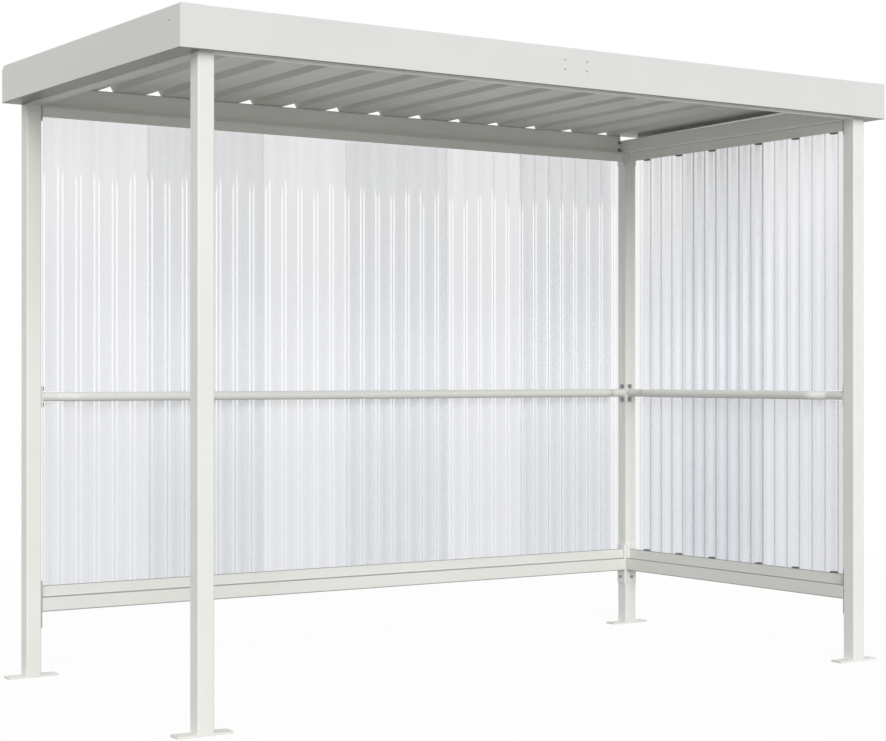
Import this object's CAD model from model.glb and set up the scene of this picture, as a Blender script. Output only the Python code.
import math
import bmesh
import bpy
from mathutils import Matrix, Vector


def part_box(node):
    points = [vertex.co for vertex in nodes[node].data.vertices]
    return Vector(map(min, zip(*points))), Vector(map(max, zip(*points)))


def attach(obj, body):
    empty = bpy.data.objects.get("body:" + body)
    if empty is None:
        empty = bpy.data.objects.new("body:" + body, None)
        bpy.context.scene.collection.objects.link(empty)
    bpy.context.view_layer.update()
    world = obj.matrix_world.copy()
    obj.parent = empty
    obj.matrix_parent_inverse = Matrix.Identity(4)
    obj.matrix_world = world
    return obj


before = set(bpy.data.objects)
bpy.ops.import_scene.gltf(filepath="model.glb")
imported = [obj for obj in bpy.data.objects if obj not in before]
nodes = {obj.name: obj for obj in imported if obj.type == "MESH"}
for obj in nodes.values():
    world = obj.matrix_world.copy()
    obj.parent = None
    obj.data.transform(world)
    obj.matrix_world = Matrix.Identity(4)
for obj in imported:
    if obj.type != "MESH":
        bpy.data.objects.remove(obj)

scene = bpy.context.scene
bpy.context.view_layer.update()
print("frame loaded:", len(nodes), "nodes")

# faces of the frame that the fixings sit on
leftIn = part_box("rear_left_post")[1].x
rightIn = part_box("rear_right_post")[0].x
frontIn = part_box("front_right_post")[1].y
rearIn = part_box("rear_right_post")[0].y
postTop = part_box("rear_right_post")[1].z
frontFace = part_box("front_fascia")[0].y
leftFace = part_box("left_fascia")[0].x
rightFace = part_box("right_fascia")[1].x


class Wire:
    # a node tree with one socket in hand, which takes part in sums
    def __init__(self, tree, socket=None):
        self.tree = tree
        self.socket = socket

    def node(self, kind, settings=None, links=None, out=0):
        made = self.tree.nodes.new(kind)
        for key, value in (settings or {}).items():
            setattr(made, key, value)
        for key, value in (links or {}).items():
            if isinstance(value, Wire):
                self.tree.links.new(value.socket, made.inputs[key])
            else:
                made.inputs[key].default_value = value
        return Wire(self.tree, made.outputs[out] if made.outputs else None)

    def maths(self, operation, *values):
        return self.node("ShaderNodeMath", {"operation": operation}, dict(enumerate(values)))

    def __add__(self, other):
        return self.maths("ADD", self, other)

    def __radd__(self, other):
        return self.maths("ADD", other, self)

    def __sub__(self, other):
        return self.maths("SUBTRACT", self, other)

    def __rsub__(self, other):
        return self.maths("SUBTRACT", other, self)

    def __mul__(self, other):
        return self.maths("MULTIPLY", self, other)

    def __rmul__(self, other):
        return self.maths("MULTIPLY", other, self)

    def __mod__(self, other):
        return self.maths("FLOORED_MODULO", self, other)

    def __abs__(self):
        return self.maths("ABSOLUTE", self)

    def larger(self, other):
        return self.maths("MAXIMUM", self, other)

    def clamp(self):
        return self.node("ShaderNodeClamp", None, {"Value": self})

    def ramp(self, low, high, first=0.0, last=1.0):
        return self.node("ShaderNodeMapRange", {"interpolation_type": "SMOOTHSTEP"}, {
            "Value": self, "From Min": low, "From Max": high, "To Min": first, "To Max": last})

    def blend(self, first, last):
        return self.node("ShaderNodeMix", {"data_type": "RGBA"}, {"Factor": self, 6: first, 7: last}, out=2)

    def along(self, axis):
        return self.node("ShaderNodeSeparateXYZ", None, {"Vector": self}, out=axis)

    def stretched(self, scale):
        return self.node("ShaderNodeMapping", None, {"Vector": self, "Scale": scale})

    def noise(self, scale, detail):
        return self.node("ShaderNodeTexNoise", None, {"Vector": self, "Scale": scale, "Detail": detail})

    def bump(self, strength, distance):
        return self.node("ShaderNodeBump", None, {"Strength": strength, "Distance": distance, "Height": self})


def newMaterial(name):
    material = bpy.data.materials.new(name)
    material.use_nodes = True
    material.node_tree.nodes.clear()
    return material, Wire(material.node_tree)


def surface(wire, sockets):
    shader = wire.node("ShaderNodeBsdfPrincipled", None, sockets)
    wire.node("ShaderNodeOutputMaterial", None, {"Surface": shader})


def paint(red, green, blue):
    # screen values from 0 to 255, as the linear colour that renders to them
    def linear(value):
        part = value / 255
        return part / 12.92 if part <= 0.04045 else ((part + 0.055) / 1.055) ** 2.4
    return (linear(red), linear(green), linear(blue), 1.0)


# steel coats
powderLook = {
    "colour": paint(235, 236, 231), "deep": paint(231, 232, 226),
    "broad": 2.4, "broadDetail": 3.0, "deepAt": 0.35, "colourAt": 0.65,   # slow drift between the two
    "stretch": (1.0, 1.0, 1.0),
    "peel": 520.0, "peelDetail": 2.0,   # bumps to the metre
    "peelDepth": 0.10, "peelHeight": 0.0004,
    "rough": 0.40, "roughPeel": 0.10, "roughBroad": 0.08,
    "gloss": 0.45,
}
railLook = dict(powderLook, colour=paint(228, 229, 224), deep=paint(225, 226, 220))
# fine dark lines at the edges and the step of the bottom rails
railLineLook = dict(
    railLook, heights=(0.2515, 0.3062, 0.3495), line=paint(158, 159, 155), lineWidth=0.0030, lineCore=0.5)
plateLook = dict(powderLook, colour=paint(176, 177, 172), deep=paint(170, 171, 166))
topLook = dict(powderLook, colour=paint(246, 247, 242), deep=paint(242, 243, 238))
# undersides have a plain tone of their own, and the fascia's is dull over the width of the rim by its face
underLook = {"under": postTop + 0.0055, "underFade": 0.0008}
leftBeamLook = dict(topLook, plain=paint(196, 197, 191), **underLook)
fasciaLook = dict(
    powderLook, colour=paint(221, 222, 217), deep=paint(219, 220, 215),
    plain=paint(194, 195, 189), dull=paint(118, 119, 112), rimFade=1.3, **underLook)
frontFasciaLook = dict(
    fasciaLook, colour=paint(221, 221, 219), deep=paint(219, 219, 217), axis="Y", face=frontFace, rim=0.009)
sideFasciaLook = dict(fasciaLook, axis="X", face=rightFace, rim=0.080)
# faint lines along the roll
roofLook = dict(
    powderLook, colour=paint(222, 223, 217), deep=paint(214, 215, 208), stretch=(14.0, 0.25, 3.0),
    peel=700.0, peelDepth=0.06, rough=0.36)


def coatMaterial(name, look):
    material, wire = newMaterial(name)
    place = wire.node("ShaderNodeTexCoord", out="Object")
    height = place.along("Z")
    broad = place.stretched(look["stretch"]).noise(look["broad"], look["broadDetail"])
    peel = place.noise(look["peel"], look["peelDetail"])
    colour = broad.ramp(look["deepAt"], look["colourAt"]).blend(look["deep"], look["colour"])
    for level in look.get("heights", ()):
        near = abs(height - level).ramp(look["lineWidth"], look["lineWidth"] * look["lineCore"])
        colour = near.blend(colour, look["line"])
    if "under" in look:
        tone = look["plain"]
        if "rim" in look:
            inward = abs(look["face"]) - abs(place.along(look["axis"]))
            tone = inward.ramp(look["rim"], look["rim"] * look["rimFade"]).blend(look["dull"], tone)
        colour = height.ramp(look["under"], look["under"] - look["underFade"]).blend(colour, tone)
    rough = look["rough"] + (peel - 0.5) * look["roughPeel"] + (broad - 0.5) * look["roughBroad"]
    surface(wire, {
        "Base Color": colour, "Roughness": rough, "Specular IOR Level": look["gloss"],
        "Normal": peel.bump(look["peelDepth"], look["peelHeight"])})
    return material


powderCoat = coatMaterial("powderCoat", powderLook)
railCoat = coatMaterial("railCoat", railLook)
railLineCoat = coatMaterial("railLineCoat", railLineLook)
plateCoat = coatMaterial("plateCoat", plateLook)
topCoat = coatMaterial("topCoat", topLook)
leftBeamCoat = coatMaterial("leftBeamCoat", leftBeamLook)
frontFasciaCoat = coatMaterial("frontFasciaCoat", frontFasciaLook)
sideFasciaCoat = coatMaterial("sideFasciaCoat", sideFasciaLook)
roofCoat = coatMaterial("roofCoat", roofLook)
print("steel coats made")

# clear ribbed sheets: u runs across the ribs, from the first rib of the wall
clearLook = {
    "pitch": 0.076, "run": 0.011, "crest": 0.023,
    "low": paint(196, 201, 210), "lowAt": 0.5, "high": paint(230, 235, 245), "highAt": 1.4,
    "near": paint(205, 210, 221), "nearTo": -0.80,   # duller towards the open side
    "film": 0.270,                                   # cover of a flat pan, each face
    "thin": 0.60, "thinFrom": 1.40, "thinTo": 2.10,  # share of it that is left under the roof
    "endAt": 1.31, "endBy": 1.40, "endShare": 0.6,   # thinner beside the corner post
    "slopeGain": 0.0,                                # share of the cover added on the slopes
    "slopeOuter": 0.56, "slopeInner": 0.46,          # where that fades, in runs from a slope's middle
    "glare": 0.90,                                   # share of the cover lost on bright lines by a slope
    "glareAt": (-0.0085, 0.0185), "glareWidth": 0.0048, "glareCore": 0.5,
    "fadeLow": 1.925, "fadeHigh": 1.965, "fadeSpread": 0.30,   # where those lines end below the roof
    "weakLow": 0.75, "weakHigh": 1.25, "weakShare": 0.35,      # they are weaker low down
    "edge": paint(196, 200, 210), "edgeOn": 0.12,    # cover added where the sheet is seen edge on
    "edgeFrom": 0.82, "edgeTo": 0.97,
    "streak": 0.10, "streakRun": (60.0, 60.0, 0.5), "streakDetail": 2.0,
    "band": 0.10, "bandScale": 1.6,
    "soft": 0.15, "softTop": 0.6, "softRun": (24.0, 24.0, 0.3), "softFrom": 1.85, "softTo": 2.0,
    "rough": 0.14, "roughStreak": 0.06, "gloss": 0.18, "bump": 0.02, "bumpHeight": 0.0003,
}
rightLook = dict(
    clearLook, film=0.26, glare=0.06, slopeGain=0.50, edgeOn=0.02, edge=paint(234, 238, 247),
    low=paint(208, 212, 221), high=paint(234, 238, 247), near=paint(222, 226, 236), nearTo=0.30,
    endAt=0.615, endBy=0.655, endShare=0.3)


def ribLines(u, pitch, spots, outer, inner):
    # 1 at each spot of every rib, fading to 0 between the inner and the outer distance
    lines = 0.0
    for spot in spots:
        away = abs((u - spot + pitch / 2) % pitch - pitch / 2)
        lines = away.ramp(outer, inner) + lines
    return lines


def clearMaterial(name, axis, start, look):
    material, wire = newMaterial(name)
    place = wire.node("ShaderNodeTexCoord", out="Object")
    along = place.along(axis)
    height = place.along("Z")
    pitch, run = look["pitch"], look["run"]
    u = (along - start) % pitch
    streak = place.stretched(look["streakRun"]).noise(1.0, look["streakDetail"])
    band = place.noise(look["bandScale"], 1.0)
    soft = place.stretched(look["softRun"]).noise(1.0, 1.0)
    fade = (height + (streak - 0.5) * look["fadeSpread"]).ramp(look["fadeHigh"], look["fadeLow"])
    fade = fade * height.ramp(look["weakLow"], look["weakHigh"], look["weakShare"], 1.0)
    width = look["glareWidth"]
    glare = (ribLines(u, pitch, look["glareAt"], width, width * look["glareCore"]) * fade).clamp()
    middles = (run / 2, run * 1.5 + look["crest"])
    slopes = ribLines(u, pitch, middles, run * look["slopeOuter"], run * look["slopeInner"]).clamp()
    facing = wire.node("ShaderNodeLayerWeight", None, {"Blend": 0.5}, out="Facing")
    edge = facing.ramp(look["edgeFrom"], look["edgeTo"])
    film = look["film"] * (1 + (streak - 0.5) * look["streak"] + (band - 0.5) * look["band"])
    patchy = height.ramp(look["softFrom"], look["softTo"], look["soft"], look["softTop"])
    film = film * (1 + (soft - 0.5) * patchy)
    thin = height.ramp(look["thinFrom"], look["thinTo"], 1.0, look["thin"])
    film = film * thin * along.ramp(look["endAt"], look["endBy"], 1.0, look["endShare"])
    film = film * (1 + slopes * look["slopeGain"])
    cover = (film * (1 - glare * look["glare"]) + edge * thin * look["edgeOn"]).clamp()
    high = along.ramp(start, look["nearTo"]).blend(look["near"], look["high"])
    colour = height.ramp(look["lowAt"], look["highAt"]).blend(look["low"], high)
    surface(wire, {
        "Base Color": edge.blend(colour, look["edge"]),
        "Roughness": look["rough"] + streak * look["roughStreak"],
        "Specular IOR Level": look["gloss"], "Alpha": cover,
        "Normal": streak.bump(look["bump"], look["bumpHeight"])})
    return material


rearFirstRib = -1.428
rightFirstRib = -0.6385
rearClear = clearMaterial("rearClearSheet", "X", rearFirstRib, clearLook)
rightClear = clearMaterial("rightClearSheet", "Y", rightFirstRib, rightLook)

blockLook = {
    "colour": paint(92, 92, 90), "worn": paint(112, 112, 109),
    "broad": 60.0, "broadDetail": 2.0, "colourAt": 0.4, "wornAt": 0.7,
    "grain": 900.0, "grainDetail": 3.0, "bump": 0.25, "bumpHeight": 0.0003,
    "rough": 0.7, "roughGrain": 0.2,
}


def blockMaterial(name, look):
    material, wire = newMaterial(name)
    place = wire.node("ShaderNodeTexCoord", out="Object")
    grain = place.noise(look["grain"], look["grainDetail"])
    broad = place.noise(look["broad"], look["broadDetail"])
    surface(wire, {
        "Base Color": broad.ramp(look["colourAt"], look["wornAt"]).blend(look["colour"], look["worn"]),
        "Roughness": look["rough"] + (grain - 0.5) * look["roughGrain"],
        "Normal": grain.bump(look["bump"], look["bumpHeight"])})
    return material


zincLook = {
    "colour": paint(168, 169, 168), "dull": paint(138, 139, 138), "colourAt": 0.2, "dullAt": 0.8,
    "spangle": 260.0, "haze": 90.0, "hazeDetail": 3.0, "share": 0.6,   # of each in the colour
    "bump": 0.15, "bumpHeight": 0.0002, "metal": 0.85, "rough": 0.34, "roughHaze": 0.15,
}


def zincMaterial(name, look):
    material, wire = newMaterial(name)
    place = wire.node("ShaderNodeTexCoord", out="Object")
    spangle = wire.node(
        "ShaderNodeTexVoronoi", None, {"Vector": place, "Scale": look["spangle"]}, out="Distance")
    haze = place.noise(look["haze"], look["hazeDetail"])
    mottle = (spangle * look["share"] + haze * look["share"]).ramp(look["colourAt"], look["dullAt"])
    surface(wire, {
        "Base Color": mottle.blend(look["colour"], look["dull"]), "Metallic": look["metal"],
        "Roughness": look["rough"] + haze * look["roughHaze"],
        "Normal": haze.bump(look["bump"], look["bumpHeight"])})
    return material


spacerBlock = blockMaterial("spacerBlock", blockLook)
zincPlate = zincMaterial("zincPlate", zincLook)


def finishOf(name):
    if "roof_sheet" in name:
        return roofCoat
    if name.startswith("rear_wall_sheet"):
        return rearClear
    if name.startswith("right_wall_sheet"):
        return rightClear
    if "spacers" in name:
        return spacerBlock
    if "bottom_rail" in name:
        return railLineCoat
    if "leaning_rail" in name or "_rail_" in name:
        return railCoat
    if name.startswith(("rear_left_", "side_front_")) and "bracket" in name:
        return plateCoat
    if name == "left_top_beam":
        return leftBeamCoat
    if "top_sheet_rail" in name or "top_beam" in name:
        return topCoat
    if name == "front_fascia":
        return frontFasciaCoat
    if name.endswith("_fascia"):
        return sideFasciaCoat
    return powderCoat


for name, node in nodes.items():
    node.data.materials.clear()
    node.data.materials.append(finishOf(name))
    if "wall_sheet" in name:
        node.visible_shadow = False
        node.visible_diffuse = False
print("finishes on the frame")


# fixings: one is shaped along +Z on its seat at the origin, then set at each place
def turned(profile, steps):
    # a shape spun round Z from a line of (radius, height) points
    shape = bmesh.new()
    corners = [shape.verts.new((radius, 0, height)) for radius, height in profile]
    edges = [shape.edges.new(pair) for pair in zip(corners, corners[1:])]
    bmesh.ops.spin(shape, geom=corners + edges, cent=(0, 0, 0), axis=(0, 0, 1), angle=2 * math.pi,
                   steps=steps, use_merge=True, use_duplicate=False)
    bmesh.ops.remove_doubles(shape, verts=shape.verts, dist=1e-6)
    bmesh.ops.recalc_face_normals(shape, faces=shape.faces)
    return shape


def joined(*shapes):
    whole = bmesh.new()
    for shape in shapes:
        part = bpy.data.meshes.new("part")
        shape.to_mesh(part)
        whole.from_mesh(part)
        bpy.data.meshes.remove(part)
        shape.free()
    return whole


# shares of a head's width and height, and of a washer's thickness
boltShares = {"rimFrom": 0.9, "dish": 0.16, "dishDepth": 0.06, "lip": 0.3, "steps": 28}


def hexHead(across, height, base, edge):
    # a six-sided head with a rounded upper rim and a slight dish
    shape = bmesh.new()
    radius = across / 2 / math.cos(math.pi / 6)
    bmesh.ops.create_cone(shape, cap_ends=True, segments=6, radius1=radius, radius2=radius, depth=height,
                          matrix=Matrix.Translation((0, 0, base + height / 2)))
    rimFrom = base + height * boltShares["rimFrom"]
    rim = [e for e in shape.edges if all(v.co.z > rimFrom for v in e.verts)]
    bmesh.ops.bevel(shape, geom=rim, offset=edge, offset_type="OFFSET", affect="EDGES", segments=2,
                    profile=0.5, material=-1)
    crown = [f for f in shape.faces if f.normal.z > 0.99]
    bmesh.ops.inset_region(shape, faces=crown, thickness=across * boltShares["dish"],
                           depth=-height * boltShares["dishDepth"])
    return shape


def boltShape(look):
    rim, thick = look["washer"], look["thick"]
    lip = thick * boltShares["lip"]
    washer = turned([(0.0, 0.0), (rim, 0.0), (rim, thick - lip), (rim - lip, thick), (0.0, thick)],
                    boltShares["steps"])
    return joined(washer, hexHead(look["across"], look["head"], thick, look["edge"]))


sharpAngle = math.radians(35)


def setAt(name, shape, places, finish):
    # places hold a point, the way that the fixing faces, and its turn
    single = bpy.data.meshes.new("single")
    shape.to_mesh(single)
    shape.free()
    whole = bmesh.new()
    for point, facing, roll in places:
        first = len(whole.verts)
        whole.from_mesh(single)
        whole.verts.ensure_lookup_table()
        turn = Vector(facing).to_track_quat("Z", "Y").to_matrix().to_4x4() @ Matrix.Rotation(roll, 4, "Z")
        bmesh.ops.transform(whole, matrix=Matrix.Translation(point) @ turn, verts=whole.verts[first:])
    bpy.data.meshes.remove(single)
    mesh = bpy.data.meshes.new(name)
    whole.to_mesh(mesh)
    whole.free()
    mesh.polygons.foreach_set("use_smooth", [True] * len(mesh.polygons))
    mesh.set_sharp_from_angle(angle=sharpAngle)
    mesh.materials.append(finish)
    piece = bpy.data.objects.new(name, mesh)
    scene.collection.objects.link(piece)
    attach(piece, "root")


def postSeats(look, z):
    # on plates against the posts at the ends of the two walls
    plate, behind = look["plate"], look["behind"]
    seats = [
        ((leftIn + plate, rearIn + behind, z), (1, 0, 0)),
        ((rightIn - plate, rearIn + behind, z), (-1, 0, 0)),
        ((rightIn + behind, frontIn + plate, z), (0, 1, 0)),
        ((rightIn + behind, rearIn - plate, z), (0, -1, 0)),
    ]
    return [(point, facing, roll) for (point, facing), roll in zip(seats, look["rolls"])]


# bolts through the end flanges of the leaning rails
flangeBolts = {
    "across": 0.016, "head": 0.0075, "edge": 0.0012, "washer": 0.0098, "thick": 0.0018,
    "plate": 0.005, "behind": 0.018, "height": 1.080, "spread": 0.031, "rolls": (0.2, 0.5, 0.1, 0.3),
}
places = []
for lift in (-flangeBolts["spread"], flangeBolts["spread"]):
    places += postSeats(flangeBolts, flangeBolts["height"] + lift)
setAt("flange_bolts", boltShape(flangeBolts), places, zincPlate)

# bolts through the lower ends of the bottom brackets
bracketBolts = {
    "across": 0.012, "head": 0.0060, "edge": 0.0010, "washer": 0.0072, "thick": 0.0015,
    "plate": 0.005, "behind": 0.030, "height": 0.219, "rolls": (0.1, 0.4, 0.3, 0.0),
}
places = postSeats(bracketBolts, bracketBolts["height"])
setAt("bracket_bolts", boltShape(bracketBolts), places, zincPlate)

# two bolts at each end of the rear beam's web
beamBolts = {
    "across": 0.012, "head": 0.0060, "edge": 0.0010, "washer": 0.0068, "thick": 0.0015,
    "web": 0.040, "inset": 0.009, "heights": (0.015, 0.047), "rightRoll": 0.2, "leftRoll": 0.4,
}
look = beamBolts
places = []
for lift in look["heights"]:
    y = rearIn + look["web"]
    places.append(((rightIn - look["inset"], y, postTop + lift), (0, -1, 0), look["rightRoll"]))
    places.append(((leftIn + look["inset"], y, postTop + lift), (0, -1, 0), look["leftRoll"]))
setAt("beam_bolts", boltShape(look), places, zincPlate)
print("bolts set")

# small domed screws in the fascia, with a profile in shares of their radius and height
fasciaScrews = {
    "radius": 0.0034, "height": 0.0016, "sunk": 0.001, "steps": 20,
    "shares": ((1.0, 0.25), (0.86, 0.68), (0.55, 0.94), (0.30, 1.0), (0.22, 0.45), (0.0, 0.45)),
    "across": 0.050, "low": 0.066, "high": 0.100, "sideBack": 0.079, "sideHeight": 0.101,
}
look = fasciaScrews
profile = [(0.0, -look["sunk"]), (look["radius"], -look["sunk"])]
profile += [(look["radius"] * out, look["height"] * up) for out, up in look["shares"]]
places = [((x, frontFace, postTop + z), (0, -1, 0), 0.0)
          for x in (-look["across"], look["across"]) for z in (look["low"], look["high"])]
for x, way in ((leftFace, -1), (rightFace, 1)):
    places.append(((x, frontFace + look["sideBack"], postTop + look["sideHeight"]), (way, 0, 0), 0.0))
setAt("fascia_screws", turned(profile, look["steps"]), places, zincPlate)

# screws with sealing washers, outside, through the wall sheets into the rails
wallScrews = {
    "across": 0.008, "head": 0.0042, "edge": 0.0006, "washer": 0.0070, "thick": 0.0014,
    "low": 0.334, "high": 2.174, "sheet": 0.0015, "seat": 0.021, "rib": 0.018,
    "rightRibs": (0, 3, 6, 10, 13, 16), "rightRoll": 0.37, "rightDoubled": range(6, 17),
    "rearPans": range(1, 37, 3), "rearRoll": 0.41, "rearDoubled": (*range(6, 24), *range(30, 37)),
}
look = wallScrews
pitch = clearLook["pitch"]
crestMiddle = clearLook["run"] + clearLook["crest"] / 2
panMiddle = (pitch + clearLook["crest"] + 2 * clearLook["run"]) / 2
places = []
for z in (look["low"], look["high"]):
    for rib in look["rightRibs"]:
        layers = 2 if rib in look["rightDoubled"] else 1
        x = rightIn + look["seat"] + look["rib"] + look["sheet"] * layers
        y = rightFirstRib + rib * pitch + crestMiddle
        places.append(((x, y, z), (1, 0, 0), rib * look["rightRoll"]))
    for pan in look["rearPans"]:
        layers = 2 if pan in look["rearDoubled"] else 1
        x = rearFirstRib + pan * pitch + panMiddle
        y = rearIn + look["seat"] + look["sheet"] * layers
        places.append(((x, y, z), (0, 1, 0), pan * look["rearRoll"]))
setAt("wall_screws", boltShape(look), places, zincPlate)

# the same kind of screw through the roof pans into the front and rear beams
roofScrews = {
    "across": 0.008, "head": 0.0045, "edge": 0.0006, "washer": 0.0080, "thick": 0.0016,
    "firstPan": -1.2525, "pitch": 0.207, "pans": 13, "slope": math.radians(0.7), "roll": 0.53,
    "frontY": -0.735, "rearY": 0.778, "bearing": 0.082, "origin": 0.7675, "sheet": 0.0015,
    "doubled": range(4, 9),   # where the middle sheet lies on the side ones
}
look = roofScrews
up = (0, math.sin(look["slope"]), math.cos(look["slope"]))
places = []
for pan in range(look["pans"]):
    layers = 2 if pan in look["doubled"] else 1
    x = look["firstPan"] + pan * look["pitch"]
    for y in (look["frontY"], look["rearY"]):
        under = postTop + look["bearing"] - (y - look["origin"]) * math.tan(look["slope"])
        places.append(((x, y, under + look["sheet"] * layers), up, pan * look["roll"]))
setAt("roof_screws", boltShape(look), places, zincPlate)
print("screws set")

# floor, white to the camera but for the shadow on it
floorLook = {
    "radius": 40.0, "segments": 96, "drop": 0.0006, "shadow": 0.05, "near": 3.5, "far": 6.5,
    "colour": paint(240, 240, 239), "deep": paint(236, 236, 235), "grain": 30.0, "grainDetail": 2.0,
    "bounce": paint(170, 170, 169),   # what the part sees of it
}
plainWhite = {"Color": (1, 1, 1, 1), "Strength": 1.0}


def seenRay(wire):
    # 1 for what the camera sees, straight on, in a gloss or through a sheet
    rays = [wire.node("ShaderNodeLightPath", out="Is " + kind + " Ray")
            for kind in ("Camera", "Glossy", "Transmission")]
    return rays[0].larger(rays[1]).larger(rays[2])


def floorMaterial(name, look):
    material, wire = newMaterial(name)
    place = wire.node("ShaderNodeTexCoord", out="Object")
    reach = wire.node("ShaderNodeVectorMath", {"operation": "LENGTH"}, {0: place}, out="Value")
    seen = seenRay(wire)
    plain = seen * (1 - reach.ramp(look["far"], look["near"]) * look["shadow"])
    grain = place.noise(look["grain"], look["grainDetail"])
    colour = seen.blend(look["bounce"], grain.blend(look["deep"], look["colour"]))
    matt = wire.node("ShaderNodeBsdfDiffuse", None, {"Color": colour})
    white = wire.node("ShaderNodeEmission", None, plainWhite)
    both = wire.node("ShaderNodeMixShader", None, {0: plain, 1: matt, 2: white})
    wire.node("ShaderNodeOutputMaterial", None, {"Surface": both})
    return material


disc = bmesh.new()
bmesh.ops.create_circle(disc, cap_ends=True, segments=floorLook["segments"], radius=floorLook["radius"],
                        matrix=Matrix.Translation((0, 0, -floorLook["drop"])))
floorMesh = bpy.data.meshes.new("floor")
disc.to_mesh(floorMesh)
disc.free()
floorMesh.materials.append(floorMaterial("floorMatt", floorLook))
floor = bpy.data.objects.new("floor", floorMesh)
scene.collection.objects.link(floor)

# soft light from all round, and a wide distant lamp in front on the left
lightLook = {"around": 0.60, "key": 2.02, "keySpread": 46.0, "keyFrom": (-0.35, -0.86, 0.40)}
world = bpy.data.worlds.new("studio")
scene.world = world
world.use_nodes = True
world.node_tree.nodes.clear()
sky = Wire(world.node_tree)
dim = sky.node("ShaderNodeBackground", None, dict(plainWhite, Strength=lightLook["around"]))
white = sky.node("ShaderNodeBackground", None, plainWhite)
both = sky.node("ShaderNodeMixShader", None, {0: seenRay(sky), 1: dim, 2: white})
sky.node("ShaderNodeOutputWorld", None, {"Surface": both})

lamp = bpy.data.lights.new("keyLamp", "SUN")
lamp.energy = lightLook["key"]
lamp.angle = math.radians(lightLook["keySpread"])
key = bpy.data.objects.new("keyLamp", lamp)
key.rotation_euler = Vector(lightLook["keyFrom"]).to_track_quat("Z", "Y").to_euler()
scene.collection.objects.link(key)
print("floor and light set")

cameraLook = {
    "place": (-4.2852, -6.4584, 1.1681), "yaw": 34.216, "pitch": 0.101,
    "lens": 79.519, "sensor": 36.0, "shift": -0.0400, "reach": 200.0,
}
eye = bpy.data.cameras.new("camera")
eye.sensor_fit = "HORIZONTAL"
eye.sensor_width = cameraLook["sensor"]
eye.lens = cameraLook["lens"]
eye.shift_x = cameraLook["shift"]
eye.clip_end = cameraLook["reach"]
camera = bpy.data.objects.new("camera", eye)
camera.location = cameraLook["place"]
camera.rotation_euler = (math.radians(90 + cameraLook["pitch"]), 0, math.radians(-cameraLook["yaw"]))
scene.collection.objects.link(camera)
scene.camera = camera
scene.view_settings.view_transform = "Standard"

print("sizes written")
